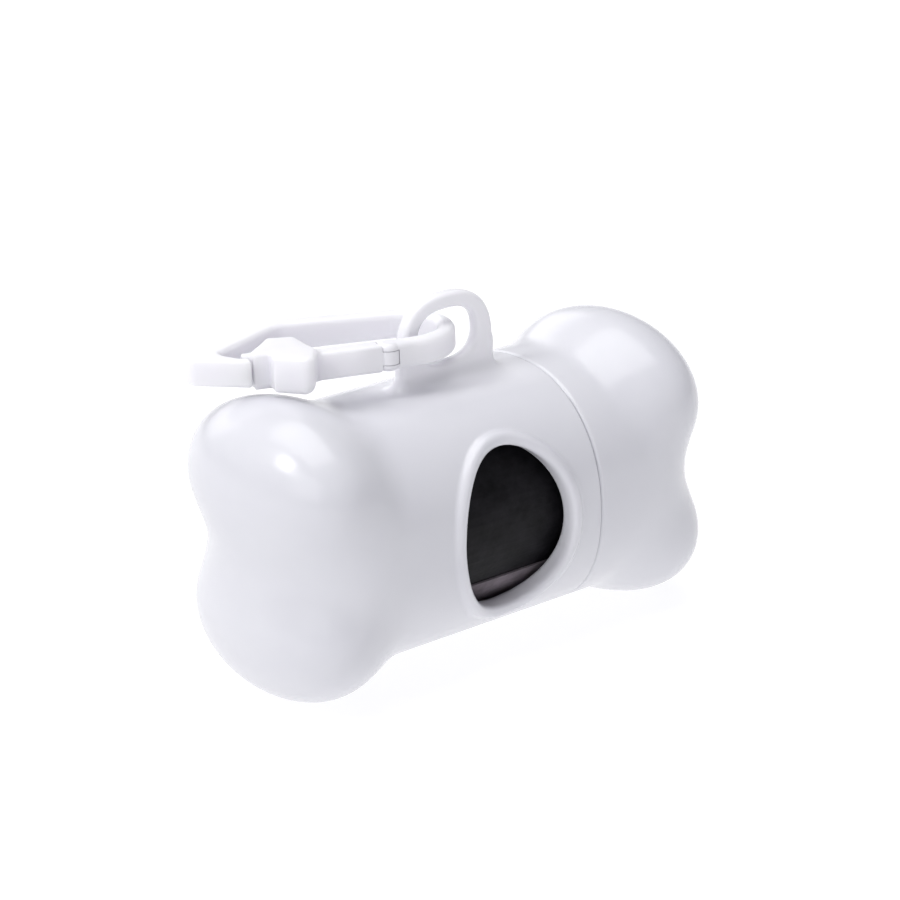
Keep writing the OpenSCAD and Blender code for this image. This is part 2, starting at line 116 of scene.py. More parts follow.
# Edges of the clip: its section goes from a round ring to a flatter arm up to FLAT_A
RING_EDGE, ARM_EDGE, FLAT_A = 1.1, 0.65, 18.0
SLOT_EDGE, LAYER_EDGE, GATE_EDGE, HEEL_EDGE = 0.1, 0.1, 0.6, 0.15
LAP_EDGE, THUMB_EDGE, THUMB_SIDE_EDGE, THUMB_FILLET = 0.3, 0.55, 1.2, 1.0
# How far the fork is open past the pin, its spare width, and how far the gate runs on in the thumb
FORK_OPEN, FORK_SPARE, GATE_ROOT = 3.0, 1.0, 2.0
# The far arm's first stretch out of the ring, along A and outwards
ROOT_RUN, ROOT_OUT = 3.0, 0.28

# ---- Grids of the surfaces ----

STEP, FINE, CLIP_STEP, HINGE_STEP = ((0.42, 0.14, 0.2, 0.05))
LUG_STEP = STEP * 0.7
PROBE = 0.01
SPREAD_ROUNDS, PULL_ROUNDS = 4, 2
SPREAD_SHARE, LONGEST_PULL, LEAST_SLOPE = 0.5, 0.6, 0.3
CENTRE = 1e-4
TINY, HUGE = 1e-9, 1e9
ARC_SIDES = 8
# The four cells round a grid edge, in order
ROUND_EDGE = ((1, 1), (0, 1), (0, 0), (1, 0))


# ---- Distance-like functions ----

def soft_min(a, b, k):
    """The smaller of two values, blended over k where they are close."""
    h = np.clip(0.5 + 0.5 * (b - a) / k, 0.0, 1.0)
    return b * (1 - h) + a * h - k * h * (1 - h)


def soft_max(a, b, k):
    return -soft_min(-a, -b, k)


def bone(p):
    """The bone's skin: a full round middle with rounded ends, and two lobes at each end."""
    x, y, z = np.abs(p[:, 0]), p[:, 1], p[:, 2]
    n = CORE_ROUND
    across = (np.abs(y) ** n + np.abs(z) ** n) ** (1 / n)
    dx, dr = x - CORE_HALF + CORE_EDGE, across - CORE_R + CORE_EDGE
    middle = np.minimum(np.maximum(dx, dr), 0) - CORE_EDGE
    middle = middle + np.hypot(np.maximum(dx, 0), np.maximum(dr, 0))
    lobes = []
    for side in (1, -1):
        q = np.stack([x - LOBE_X, y, z - side * LOBE_Z], 1)
        near = np.sqrt(((q / LOBE_R) ** 2).sum(1))
        steep = np.sqrt(((q / np.square(LOBE_R)) ** 2).sum(1))
        lobes.append(near * (near - 1) / np.maximum(steep, CENTRE))
    return soft_min(middle, soft_min(lobes[0], lobes[1], BLEND_LOBES), BLEND_CORE)


def polygon_distance(u, v, pts):
    """Signed distance to a polygon with sharp corners."""
    pts = np.asarray(pts, float)
    best = np.full(u.shape, HUGE)
    inside = np.zeros(u.shape, bool)
    for (x0, y0), (x1, y1) in zip(pts, np.roll(pts, -1, 0)):
        ex, ey = x1 - x0, y1 - y0
        wx, wy = u - x0, v - y0
        t = np.clip((wx * ex + wy * ey) / (ex * ex + ey * ey), 0, 1)
        best = np.minimum(best, (wx - t * ex) ** 2 + (wy - t * ey) ** 2)
        cross = (y0 > v) != (y1 > v)
        with np.errstate(divide="ignore", invalid="ignore"):
            inside ^= cross & (u < (x1 - x0) * (v - y0) / (y1 - y0) + x0)
    return np.where(inside, -1, 1) * np.sqrt(best)


def segment_distance(a, b, start, end):
    e = np.subtract(end, start)
    wa, wb = a - start[0], b - start[1]
    t = np.clip((wa * e[0] + wb * e[1]) / (e @ e), 0, 1)
    return np.hypot(wa - t * e[0], wb - t * e[1])


def slab(flat, w, half, r):
    """Plate of a flat outline, 2 * half thick, with edges of radius r."""
    a, b = flat + r, np.abs(w) - half + r
    return np.minimum(np.maximum(a, b), 0) + np.hypot(np.maximum(a, 0), np.maximum(b, 0)) - r


# ---- Surfaces of those functions ----

def marks(low, high, step, *finer):
    """Grid lines from low to high; each finer span is (from, to, step)."""
    out = [low]
    while out[-1] < high:
        here = [f for a, b, f in finer if a <= out[-1] < b]
        out.append(out[-1] + min([step] + here))
    return np.array(out)


def sample(field, axes):
    """Values of a field on the grid of three rows of marks."""
    value = np.empty([len(row) for row in axes])
    yy, zz = np.meshgrid(axes[1], axes[2], indexing="ij")
    for i, x in enumerate(axes[0]):
        pts = np.stack([np.full(yy.size, x), yy.ravel(), zz.ravel()], 1)
        value[i] = field(pts).reshape(yy.shape)
    return value


def crossings(value, axis):
    """Grid edges along one axis that the surface crosses: start, crossing, starts inside."""
    low, high = [slice(None)] * 3, [slice(None)] * 3
    low[axis], high[axis] = slice(0, -1), slice(1, None)
    a, b = value[tuple(low)], value[tuple(high)]
    cross = (a < 0) != (b < 0)
    start = np.stack(np.nonzero(cross), 1)
    place = start.astype(float)
    place[:, axis] += a[cross] / (a[cross] - b[cross])
    return start, place, a[cross] < 0


def cell_beside(start, axis, first, second):
    """Cells next to grid edges, so many steps back along the two axes across them."""
    cell = start.copy()
    cell[:, (axis + 1) % 3] -= first
    cell[:, (axis + 2) % 3] -= second
    return cell


def grid_surface(field, axes):
    """Vertices and quads of the zero surface of a field, one vertex per crossed cell."""
    value = sample(field, axes)
    cells = np.array(value.shape) - 1
    total, count = np.zeros(tuple(cells) + (3,)), np.zeros(tuple(cells))
    edges = [crossings(value, axis) for axis in range(3)]
    for axis, (start, place, _) in enumerate(edges):
        for back in ROUND_EDGE:
            cell = cell_beside(start, axis, *back)
            good = ((cell >= 0) & (cell < cells)).all(1)
            spot = tuple(cell[good].T)
            np.add.at(total, spot, place[good])
            np.add.at(count, spot, 1)
    used = count > 0
    number = np.full(used.shape, -1)
    number[used] = np.arange(used.sum())
    mean = total[used] / count[used][:, None]
    verts = np.stack([np.interp(mean[:, d], np.arange(len(axes[d])), axes[d]) for d in range(3)], 1)
    quads = []
    for axis, (start, _, starts_inside) in enumerate(edges):
        across = [(axis + 1) % 3, (axis + 2) % 3]
        good = ((start[:, across] > 0) & (start[:, across] < cells[across])).all(1)
        ring = np.stack([number[tuple(cell_beside(start[good], axis, *back).T)] for back in ROUND_EDGE], 1)
        turned = ~starts_inside[good]
        ring[turned] = ring[turned][:, ::-1]
        quads.append(ring)
    return verts, np.concatenate(quads)


def slope(field, p):
    g = np.empty_like(p)
    for d in range(3):
        step = np.zeros(3)
        step[d] = PROBE
        g[:, d] = (field(p + step) - field(p - step)) / (2 * PROBE)
    return g


def unit(v):
    return v / np.maximum(np.linalg.norm(v, axis=1), TINY)[:, None]


def spread(field, verts, quads):
    """Vertices moved along the surface towards the middle of their neighbours."""
    total, count = np.zeros_like(verts), np.zeros(len(verts))
    for a in range(4):
        i, j = quads[:, a], quads[:, (a + 1) % 4]
        for d in range(3):
            total[:, d] += np.bincount(i, verts[j, d], len(verts))
            total[:, d] += np.bincount(j, verts[i, d], len(verts))
        count += np.bincount(i, minlength=len(verts)) + np.bincount(j, minlength=len(verts))
    g = unit(slope(field, verts))
    move = total / np.maximum(count, 1)[:, None] - verts
    move -= (move * g).sum(1)[:, None] * g
    return verts + SPREAD_SHARE * move


def pull_on(field, verts, longest):
    """Vertices pulled onto the surface, none by more than the longest step."""
    g = slope(field, verts)
    pull = (field(verts) / np.maximum((g * g).sum(1), LEAST_SLOPE ** 2))[:, None] * g
    far = np.linalg.norm(pull, axis=1)
    return verts - pull * np.minimum(1, longest / np.maximum(far, TINY))[:, None]


def settle(field, verts, quads, step):
    """Evenly spread vertices that lie on the surface, and their normals."""
    for turn in range(SPREAD_ROUNDS + PULL_ROUNDS):
        if turn < SPREAD_ROUNDS:
            verts = spread(field, verts, quads)
        verts = pull_on(field, verts, LONGEST_PULL * step)
    return verts, unit(slope(field, verts))


def add_object(name, data):
    obj = bpy.data.objects.new(name, data)
    bpy.context.scene.collection.objects.link(obj)
    return obj


def moulded(name, field, axes, place=None):
    """Smooth object of a field's surface, on the bone's axis or where place puts it."""
    verts, quads = grid_surface(field, axes)
    verts, normals = settle(field, verts, quads, np.diff(axes[1]).max())
    if place is not None:
        verts, normals = place(verts), place(normals, True)
    verts = verts + np.array([0, 0, AXIS_Z])
    mesh = bpy.data.meshes.new(name)
    mesh.from_pydata((verts * MM).tolist(), [], quads.tolist())
    mesh.validate()
    mesh.shade_smooth()
    mesh.normals_split_custom_set_from_vertices(normals.tolist())
    return add_object(name, mesh)


# ---- Shells ----

def port_line(points=96, halvings=40, outside=40.0):
    """The bead's middle line, on the bone's surface round the port."""
    turn = np.linspace(0, 2 * math.pi, points, endpoint=False)
    x = PORT_X + (PORT_RX + BEAD_R * BEAD_OUT) * np.cos(turn)
    z = PORT_Z + (PORT_RZ + BEAD_R * BEAD_OUT) * np.sin(turn)
    lo, hi = np.zeros(points), np.full(points, outside)
    for _ in range(halvings):
        mid = (lo + hi) / 2
        inside = bone(np.stack([x, -mid, z], 1)) < -BEAD_SINK
        lo, hi = np.where(inside, mid, lo), np.where(inside, hi, mid)
    return np.stack([x, -lo, z], 1)


PORT_LINE = port_line()


def bead(p, skin, front=-8.0, margin=5.0, depth=4.0, away=6.0):
    """Bead along the port's line, worked out near the line; elsewhere it is just far away."""
    out = np.full(len(p), away)
    near = (p[:, 1] < front) & (np.abs(p[:, 0] - PORT_X) < PORT_RX + margin) & (np.abs(skin) < depth)
    near &= np.abs(p[:, 2] - PORT_Z) < PORT_RZ + margin
    q = p[near]
    best = np.full(len(q), HUGE)
    for a, b in zip(PORT_LINE, np.roll(PORT_LINE, -1, 0)):
        e = b - a
        w = q - a
        t = np.clip((w @ e) / (e @ e), 0, 1)
        best = np.minimum(best, ((w - t[:, None] * e) ** 2).sum(1))
    out[near] = np.sqrt(best) - BEAD_R + BEAD_IN
    return out


def full_oval(u, v, rx, rz):
    n = LUG_ROUND
    a, b = np.abs(u) / rx, np.abs(v) / rz
    q = np.maximum((a ** n + b ** n) ** (1 / n), CENTRE)
    return (q - 1) / np.hypot((a / q) ** (n - 1) / rx, (b / q) ** (n - 1) / rz)


def lug(p):
    u, v = p[:, 0] - LUG_X, p[:, 2] - LUG_Z
    foot = LUG_ROOT - LUG_Z
    corners = [(-LUG_R - LUG_FOOT, foot), (LUG_R, foot), (LUG_R, 0), (-LUG_R, 0)]
    outer = soft_min(full_oval(u, v, LUG_R, LUG_R), polygon_distance(u, v, corners), ARCH_FILLET)
    hole = full_oval(u, v + LUG_Z - CLIP_MID - HOLE_LIFT, HOLE_RX, HOLE_RZ)
    return slab(soft_max(outer, -hole, HOLE_EDGE), p[:, 1], LUG_T / 2, LUG_EDGE)


def hollow(p, side):
    """The chamber and, beyond CAVITY_X, the hollow lobes of one end."""
    across = np.hypot(p[:, 1], p[:, 2])
    tube = np.maximum(across - CHAMBER_R, side * p[:, 0] - CAVITY_X - CAVITY_LAP)
    end = np.maximum(bone(p) + LOBE_WALL, CAVITY_X - side * p[:, 0])
    return soft_min(tube, end, CAVITY_FILLET)


def port_cut(p):
    q = np.hypot((p[:, 0] - PORT_X) / PORT_RX, (p[:, 2] - PORT_Z) / PORT_RZ)
    s = np.hypot((p[:, 0] - PORT_X) / PORT_RX ** 2, (p[:, 2] - PORT_Z) / PORT_RZ ** 2)
    return np.maximum(q * (q - 1) / np.maximum(s, CENTRE), p[:, 1] + CHAMBER_R - PORT_DEPTH)


def body_field(p):
    skin = bone(p) + SKIN_IN
    d = soft_min(skin, lug(p), LUG_FILLET)
    d = soft_min(d, bead(p, skin), BEAD_FILLET)
    socket = np.maximum(np.hypot(p[:, 1], p[:, 2]) - SOCKET_R, SEAM_X - COLLAR_REACH - p[:, 0])
    d = soft_max(d, -np.minimum(hollow(p, -1), socket), INNER_EDGE)
    d = soft_max(d, -port_cut(p), PORT_EDGE)
    d = soft_max(d, p[:, 0] - SEAM_X - SEAM_CLOSE, SEAM_EDGE)
    return soft_max(d, -p[:, 2] - AXIS_Z, FOOT_EDGE)


def cap_field(p):
    bore = np.maximum(np.hypot(p[:, 1], p[:, 2]) - CAP_BORE_R, p[:, 0] - SEAM_X - COLLAR_SEAT)
    d = soft_max(bone(p) + SKIN_IN, -np.minimum(hollow(p, 1), bore), INNER_EDGE)
    d = soft_max(d, SEAM_X + SEAM_GAP - SEAM_CLOSE - p[:, 0], CAP_EDGE)
    return soft_max(d, -p[:, 2] - AXIS_Z, FOOT_EDGE)


# ---- Clip ----

def rounded(pts):
    """Outline points (a, b, radius) with their corners turned into arcs."""
    out = []
    for i, (a, b, r) in enumerate(pts):
        c = np.array([a, b])
        if r == 0:
            out.append(c)
            continue
        back = np.array(pts[i - 1][:2]) - c
        on = np.array(pts[(i + 1) % len(pts)][:2]) - c
        back, on = back / np.linalg.norm(back), on / np.linalg.norm(on)
        half = math.acos(back @ on) / 2
        centre = c + (back + on) / np.linalg.norm(back + on) * r / math.sin(half)
        start = c + back * r / math.tan(half) - centre
        end = c + on * r / math.tan(half) - centre
        first = math.atan2(start[1], start[0])
        sweep = math.atan2(start[0] * end[1] - start[1] * end[0], start @ end)
        for k in range(ARC_SIDES + 1):
            turn = first + sweep * k / ARC_SIDES
            out.append(centre + r * np.array([math.cos(turn), math.sin(turn)]))
    return np.array(out)


# Outlines on A and B, with the radius of each corner
HOOK = rounded([
    (LOOP_A, -FAR_B, 0), (BEND_A, -FAR_B - BEND_B, 6), (TIP_LEN, TIP_B, 1.8),
    (NOSE_A, NEAR_B - 0.6, 0.3), (NOSE_A, NOSE_B, 0.3),
    (NOSE_A + LAP_LEN + REST_GAP, NOSE_B, 0.6), (TIP_LEN - TIP_W, TIP_B, 1.4),
    (BEND_A - 0.8, -FAR_B - BEND_B + ARM_W, 4), (LOOP_A, -FAR_B + BAR_W, 0)])
THUMB = rounded([
    (THUMB_A + 0.6, NOSE_B - THUMB_IN, 0.8), (THUMB_END - 3.6, NOSE_B - THUMB_IN - 0.8, 0.8),
    (THUMB_END, NOSE_B, 0.5), (THUMB_END, NEAR_B - STEP_IN, 0.2),
    (THUMB_END - STEP_W, NEAR_B - STEP_IN, 0.3), (THUMB_END - STEP_W, NEAR_B + 1, 0.4),
    (THUMB_A + 1.6, NEAR_B + THUMB_OUT, 1.4), (THUMB_A + 0.4, NEAR_B + THUMB_OUT - 0.7, 0.8),
    (THUMB_A - 0.9, NEAR_B - 0.1, 0)])
LAP = rounded([
    (THUMB_A + 1, NOSE_B - REST_GAP - LAP_W, 0), (NOSE_A + LAP_LEN, NOSE_B - REST_GAP - LAP_W, 0.4),
    (NOSE_A + LAP_LEN, NOSE_B - REST_GAP, 0.4), (THUMB_A + 1, NOSE_B - REST_GAP, 0)])
# The thumb block from the side, on A and the height: its underside steps down past the arm
THUMB_SIDE = [
    (THUMB_A - 3, THUMB_H / 2 + 2), (THUMB_A - 3, -GATE_T / 2 + 0.4),
    (THUMB_A - 0.2, -GATE_T / 2 + 0.2), (THUMB_A + 1.8, -THUMB_H / 2 - 0.2),
    (THUMB_END + 3, -THUMB_H / 2 - 0.2), (THUMB_END + 3, THUMB_H / 2 + 2)]


def eye(p, r):
    return np.hypot(p[:, 0] - HINGE_A, p[:, 1] - ARM_B) - r


def loop_distance(a, b):
    """Distance to the middle line of the clip's round end and its neck to the hinge."""
    u, v = a - LOOP_A, b + LOOP_OFF
    turn = np.mod(np.arctan2(v, u), 2 * math.pi)
    on_arc = (turn > NECK_TURN) & (turn < 1.5 * math.pi)
    arc = np.where(on_arc, np.abs(np.hypot(u, v) - LOOP_MID), HUGE)
    joint = (LOOP_A + LOOP_MID * math.cos(NECK_TURN), LOOP_MID * math.sin(NECK_TURN) - LOOP_OFF)
    neck = segment_distance(a, b, joint, (HINGE_A, ARM_B))
    far = -LOOP_OFF - LOOP_MID
    root = segment_distance(a, b, (LOOP_A, far), (LOOP_A + ROOT_RUN, far - ROOT_OUT))
    return np.minimum(np.minimum(arc, neck), root)


def frame_field(p):
    a, b, w = p[:, 0], p[:, 1], p[:, 2]
    flat = np.minimum(loop_distance(a, b) - BAR_W / 2, polygon_distance(a, b, HOOK))
    flat = np.minimum(flat, eye(p, EYE_R))
    d = slab(flat, w, CLIP_T / 2, np.interp(a, [LOOP_A, FLAT_A], [RING_EDGE, ARM_EDGE]))
    past_pin = np.maximum(HINGE_A - a, a - HINGE_A - FORK_OPEN)
    open_end = np.maximum(past_pin, np.abs(b - ARM_B) - FORK_CUT - FORK_SPARE)
    fork = np.minimum(eye(p, FORK_CUT - SLOT_CLOSE), open_end)
    d = soft_max(d, -np.maximum(fork, np.abs(w) - SLOT + SLOT_CLOSE), SLOT_EDGE)
    return np.maximum(d, -eye(p, PIN_R))


def gate_field(p):
    a, b, w = p[:, 0], p[:, 1], p[:, 2]
    strip = np.abs(b - ARM_B) - BAR_W / 2
    link = np.maximum(strip, np.abs(a - HINGE_A - FORK_OPEN / 2) - FORK_OPEN / 2)
    tongue = np.minimum(eye(p, EYE_R), link)
    floor_mid = -SLOT + LAYER_GAP + TONGUE_T / 2
    d = slab(tongue, w - floor_mid, TONGUE_T / 2, LAYER_EDGE)
    rim = np.maximum(tongue, np.maximum(ARM_B - b, -eye(p, SPRING_ROOM)))
    d = np.minimum(d, slab(rim, w, SLOT - LAYER_GAP, LAYER_EDGE))
    bar = np.maximum(strip, np.maximum(HINGE_A - a, a - THUMB_A - GATE_ROOT))
    arm = slab(bar, w, GATE_T / 2, GATE_EDGE)
    d = np.minimum(d, soft_max(arm, -eye(p, FORK_CUT - SLOT_CLOSE), HEEL_EDGE))
    d = np.minimum(d, slab(polygon_distance(a, b, LAP), w, GATE_T / 2, LAP_EDGE))
    block = slab(polygon_distance(a, b, THUMB), w, THUMB_H / 2, THUMB_EDGE)
    block = soft_max(block, polygon_distance(a, w, THUMB_SIDE), THUMB_SIDE_EDGE)
    return np.maximum(soft_min(d, block, THUMB_FILLET), -eye(p, PIN_R + PIN_TURN))


def clip_place(p, direction=False):
    """From the clip's own A, B and height to the bone's axes."""
    yaw = math.radians(180 - CLIP_YAW)
    x = p[:, 0] * math.cos(yaw) - p[:, 1] * math.sin(yaw)
    y = p[:, 0] * math.sin(yaw) + p[:, 1] * math.cos(yaw)
    return np.stack([x, y, p[:, 2] + (0 if direction else CLIP_MID)], 1)


# ---- Materials ----

# Noise is mostly between these two values
NOISE_LOW, NOISE_HIGH = 0.3, 0.7
# Colour sockets of the Mix node
MIX_FIRST, MIX_SECOND, MIX_RESULT = 6, 7, 2


def new_material(name, fixed):
    """Material, node tree, shader with its fixed values, and object coordinates."""
    mat = bpy.data.materials.new(name)
    mat.use_nodes = True
    tree = mat.node_tree
    shader = tree.nodes["Principled BSDF"]
    for socket, value in fixed.items():
        shader.inputs[socket].default_value = value
    return mat, tree, shader, tree.nodes.new("ShaderNodeTexCoord").outputs["Object"]


def noise(tree, coord, scale, detail, rough):
    node = tree.nodes.new("ShaderNodeTexNoise")
    node.inputs["Scale"].default_value = scale
    node.inputs["Detail"].default_value = detail
    node.inputs["Roughness"].default_value = rough
    tree.links.new(coord, node.inputs["Vector"])
    return node.outputs["Fac"]


def ramp(tree, source, dark, light, high=NOISE_HIGH):
    """Dark colour where the source is low, light colour where it is high."""
    node = tree.nodes.new("ShaderNodeValToRGB")
    first, last = node.color_ramp.elements
    first.position, first.color = NOISE_LOW, dark + (1,)
    last.position, last.color = high, light + (1,)
    tree.links.new(source, node.inputs[0])
    return node.outputs[0]


def mixed(tree, factor, first, second):
    """Colour from the first to the second, which is an output or a fixed colour."""
    node = tree.nodes.new("ShaderNodeMix")
    node.data_type = "RGBA"
    tree.links.new(factor, node.inputs["Factor"])
    tree.links.new(first, node.inputs[MIX_FIRST])
    if isinstance(second, tuple):
        node.inputs[MIX_SECOND].default_value = second
    else:
        tree.links.new(second, node.inputs[MIX_SECOND])
    return node.outputs[MIX_RESULT]


def bump(tree, shader, height, strength, distance, chain=None):
    node = tree.nodes.new("ShaderNodeBump")
    node.inputs["Strength"].default_value = strength
    node.inputs["Distance"].default_value = distance
    tree.links.new(height, node.inputs["Height"])
    if chain is not None:
        tree.links.new(chain, node.inputs["Normal"])
    tree.links.new(node.outputs["Normal"], shader.inputs["Normal"])
    return node.outputs["Normal"]


def mapped(tree, coord, **values):
    """Coordinates through a Mapping node with the given Location or Scale."""
    node = tree.nodes.new("ShaderNodeMapping")
    for socket, value in values.items():
        node.inputs[socket].default_value = value
    tree.links.new(coord, node.inputs["Vector"])
    return node.outputs["Vector"]


def along(tree, coord, axis):
    node = tree.nodes.new("ShaderNodeSeparateXYZ")
    tree.links.new(coord, node.inputs[0])
    return node.outputs[axis]


def math_node(tree, kind, first, second=0.0, third=0.0, clamp=False):
    node = tree.nodes.new("ShaderNodeMath")
    node.operation = kind
    node.use_clamp = clamp
    for slot, value in enumerate((first, second, third)):
        if isinstance(value, (int, float)):
            node.inputs[slot].default_value = value
        else:
            tree.links.new(value, node.inputs[slot])
    return node.outputs[0]


def blend(tree, source, low, high):
    """Low where the noise is low, high where it is high."""
    slant = (high - low) / (NOISE_HIGH - NOISE_LOW)
    return math_node(tree, "MULTIPLY_ADD", source, slant, low - NOISE_LOW * slant)


def rise(tree, source, start, end):
    """0 at start to 1 at end, in millimetres of the source."""
    slant = 1 / ((end - start) * MM)
    return math_node(tree, "MULTIPLY_ADD", source, slant, -start * MM * slant, True)


def plastic(name, light, dark, gloss, depth, fixed):
    """Moulded white plastic: faint cloudiness, uneven gloss and a slight moulding ripple."""
    mat, tree, shader, coord = new_material(name, {
        "IOR": 1.5, "Subsurface Radius": (depth, 0.95 * depth, depth), "Subsurface Scale": 1.0, **fixed})
    tone = ramp(tree, noise(tree, coord, scale=60, detail=3, rough=0.5), dark, light)
    tree.links.new(tone, shader.inputs["Base Color"])
    ripple = noise(tree, coord, scale=120, detail=2, rough=0.4)
    tree.links.new(blend(tree, ripple, *gloss), shader.inputs["Roughness"])
    bump(tree, shader, ripple, strength=0.2, distance=0.0001)
    return mat, tree, shader, coord, tone


def shell_plastic():
    """White shell plastic, with painted light on the thin lug: a lighter colour there and on the body's
    top beside it stands in for light shining through the lug and lifts the clip's shadow.
    """
    mat, tree, shader, coord, tone = plastic(
        "shell_white", light=(0.7, 0.7, 0.74), dark=(0.67, 0.67, 0.715), gloss=(0.2, 0.25),
        depth=0.0015, fixed={"Subsurface Weight": 0.3})
    # Painted light: a lighter base colour on the lug and the body's top round its foot, for light through
    # the thin lug and to lift the clip's shadow there
    off = math_node(tree, "ABSOLUTE", along(tree, coord, "X"))
    near = rise(tree, off, LUG_R + 5, LUG_R + 1)
    high = rise(tree, along(tree, coord, "Z"), AXIS_Z + CORE_R - 1.5, AXIS_Z + CORE_R + 2)
    lug_painted_light = math_node(tree, "MULTIPLY", near, high)
    tree.links.new(mixed(tree, lug_painted_light, tone, (0.87, 0.865, 0.9, 1)), shader.inputs["Base Color"])
    return mat


def clip_plastic():
    """Translucent white clip plastic, solid round the hinge pin."""
    mat, tree, shader, coord, _ = plastic(
        "clip_white", light=(0.82, 0.815, 0.85), dark=(0.79, 0.785, 0.82), gloss=(0.34, 0.39),
        depth=0.004, fixed={})
    pin = clip_place(np.array([[HINGE_A, ARM_B, 0]]))[0] + (0, 0, AXIS_Z)
    away = tree.nodes.new("ShaderNodeVectorMath")
    away.operation = "DISTANCE"
    tree.links.new(coord, away.inputs[0])
    away.inputs[1].default_value = tuple(pin * MM)
    clear = rise(tree, away.outputs["Value"], 2.8, 6)
    tree.links.new(math_node(tree, "MULTIPLY", clear, 0.8), shader.inputs["Subsurface Weight"])
    return mat


def film(name):
    """Thin black film: dull gloss, fine stretch lines along the roll, and creases."""
    mat, tree, shader, coord = new_material(name, {"Specular IOR Level": 0.11})
    cloud = noise(tree, coord, scale=260, detail=5, rough=0.65)
    tone = ramp(tree, cloud, (0.003, 0.003, 0.0035), (0.016, 0.015, 0.018), 0.75)
    tree.links.new(tone, shader.inputs["Base Color"])
    tree.links.new(blend(tree, cloud, 0.32, 0.46), shader.inputs["Roughness"])
    creases = noise(tree, coord, scale=420, detail=2, rough=0.5)
    creased = bump(tree, shader, creases, strength=0.5, distance=0.0003)
    lines = noise(tree, mapped(tree, coord, Scale=(0.15, 1.0, 1.0)), scale=1400, detail=3, rough=0.6)
    lined = bump(tree, shader, lines, strength=0.35, distance=0.00012, chain=creased)
    return mat, tree, shader, coord, tone, lined


def rolled_film(name):
    """The roll: black film whose wound layers show at the ends."""
    mat, tree, shader, coord, _, lined = film(name)
    layers = tree.nodes.new("ShaderNodeTexWave")
    layers.wave_type = "RINGS"
    layers.rings_direction = "X"
    layers.inputs["Scale"].default_value = 900
    layers.inputs["Distortion"].default_value = 1.5
    layers.inputs["Detail"].default_value = 2
    centred = mapped(tree, coord, Location=(0, 0, -(AXIS_Z - ROLL_DROP) * MM))
    tree.links.new(centred, layers.inputs["Vector"])
    bump(tree, shader, layers.outputs["Fac"], strength=0.4, distance=0.0001, chain=lined)
    return mat


def loose_film(name):
    """The first bag: black, and greyer below the height of its edge."""
    mat, tree, shader, coord, tone, _ = film(name)
    edge_z = AXIS_Z - ROLL_DROP - ROLL_R * math.sin(math.radians(EDGE_ANGLE))
    below = math_node(tree, "LESS_THAN", along(tree, coord, "Z"), edge_z * MM)
    wrinkle = noise(tree, coord, scale=300, detail=4, rough=0.6)
    below_edge_grey = ramp(tree, wrinkle, (0.13, 0.11, 0.125), (0.23, 0.2, 0.225))
    tree.links.new(mixed(tree, below, tone, below_edge_grey), shader.inputs["Base Color"])
    return mat


def card(name):
    """Raw brown cardboard."""
    mat, tree, shader, coord = new_material(name, {"Roughness": 0.85})
    cloud = noise(tree, coord, scale=700, detail=6, rough=0.7)
    tree.links.new(ramp(tree, cloud, (0.33, 0.23, 0.14), (0.52, 0.39, 0.26)), shader.inputs["Base Color"])
    fibre = noise(tree, coord, scale=2500, detail=3, rough=0.6)
    bump(tree, shader, fibre, strength=0.5, distance=0.0001)
    return mat


def steel(name):
    """Drawn spring wire."""
    mat, tree, shader, coord = new_material(name, {"Metallic": 1.0})
    lines = noise(tree, coord, scale=4000, detail=2, rough=0.5)
    tree.links.new(ramp(tree, lines, (0.45, 0.45, 0.47), (0.66, 0.66, 0.68)), shader.inputs["Base Color"])
    tree.links.new(blend(tree, lines, 0.24, 0.32), shader.inputs["Roughness"])
    return mat


def dress(obj, mat):
    obj.data.materials.clear()
    obj.data.materials.append(mat)


SHELL = shell_plastic()
CLIP = clip_plastic()

# ---- Pieces ----

# Every grid ends past its piece. The casing's is finer at the seam and round the lug.
END_X, SIDE_Y, BEAD_Y, LOW_Z, HIGH_Z, LUG_TOP = 41.2, 19.8, -20.6, -22.6, 23.0, 33.0
LUG_ROWS = (-2.0, 2.0, LUG_STEP), (20.0, LUG_TOP, LUG_STEP)

body = moulded("body_moulding", body_field, (
    marks(-END_X, 14.0, STEP, (11.6, 14.0, FINE)),
    marks(BEAD_Y, SIDE_Y, STEP, LUG_ROWS[0]),
    marks(LOW_Z, LUG_TOP, STEP, LUG_ROWS[1])))
dress(body, SHELL)
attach(body, "body")
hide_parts("body_shell")

cap = moulded("cap_moulding", cap_field, (
    marks(12.6, END_X, STEP, (12.0, 15.0, FINE)),
    marks(-SIDE_Y, SIDE_Y, STEP),
    marks(LOW_Z, HIGH_Z, STEP)))
dress(cap, SHELL)
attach(cap, "cap")
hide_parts("cap_shell")

# The clip's grids are finer round the pin and at the faces of the fork's layers
PIN_ROWS = (HINGE_A - 2, HINGE_A + 2, HINGE_STEP), (ARM_B - 2.1, ARM_B + 2.1, HINGE_STEP)
LAYER_FACES = (-SLOT, TONGUE_T + LAYER_GAP - SLOT, SLOT)
LAYER_ROWS = [(face - 0.2, face + 0.2, HINGE_STEP) for face in LAYER_FACES]

clip = moulded("clip_hook_moulding", frame_field, (
    marks(-2.4, 41.2, CLIP_STEP, PIN_ROWS[0]),
    marks(-11.8, 8.6, CLIP_STEP, PIN_ROWS[1]),
    marks(-2.6, 2.6, CLIP_STEP, *LAYER_ROWS)), clip_place)
dress(clip, CLIP)
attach(clip, "clip")
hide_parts("clip_frame")

gate = moulded("clip_gate_moulding", gate_field, (
    marks(8.0, 33.0, CLIP_STEP, PIN_ROWS[0]),
    marks(-1.8, 12.0, CLIP_STEP, PIN_ROWS[1]),
    marks(-3.3, 3.3, CLIP_STEP, *LAYER_ROWS)), clip_place)
dress(gate, CLIP)
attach(gate, "gate")
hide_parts("clip_gate")

